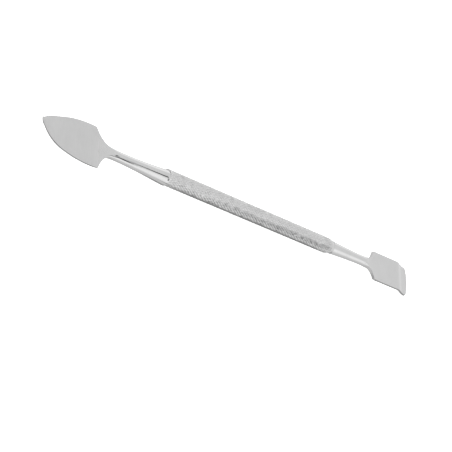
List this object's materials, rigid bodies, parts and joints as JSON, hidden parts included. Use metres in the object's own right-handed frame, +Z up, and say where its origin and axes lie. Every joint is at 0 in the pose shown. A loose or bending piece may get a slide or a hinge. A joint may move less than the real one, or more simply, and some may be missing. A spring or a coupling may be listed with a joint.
{
  "type": "clay modeling tool",
  "caption": "Double-ended steel modeling tool: round knurled handle, leaf blade with an upturned tip, and a square-ended spatula blade with a downturned lip.",
  "frame": {"origin": "under the middle of the tool, on the surface that the handle lies on", "axes": "+X along the tool from the leaf blade to the spatula blade, +Z up, out of the blades' upper faces, +Y across the blades"},
  "size_m": [0.2005, 0.0164, 0.0071],
  "materials": {
    "knurled_steel": "fine diamond knurl, satin",
    "polished_steel": "satin polished stainless steel",
    "silver_braze": "dull cast filler metal"
  },
  "bodies": {
    "root": {"handle_tube": "knurled_steel", "leaf_blade": "polished_steel", "spatula_blade": "polished_steel", "leaf_braze": "silver_braze", "spatula_braze": "silver_braze"}
  },
  "joints": []
}
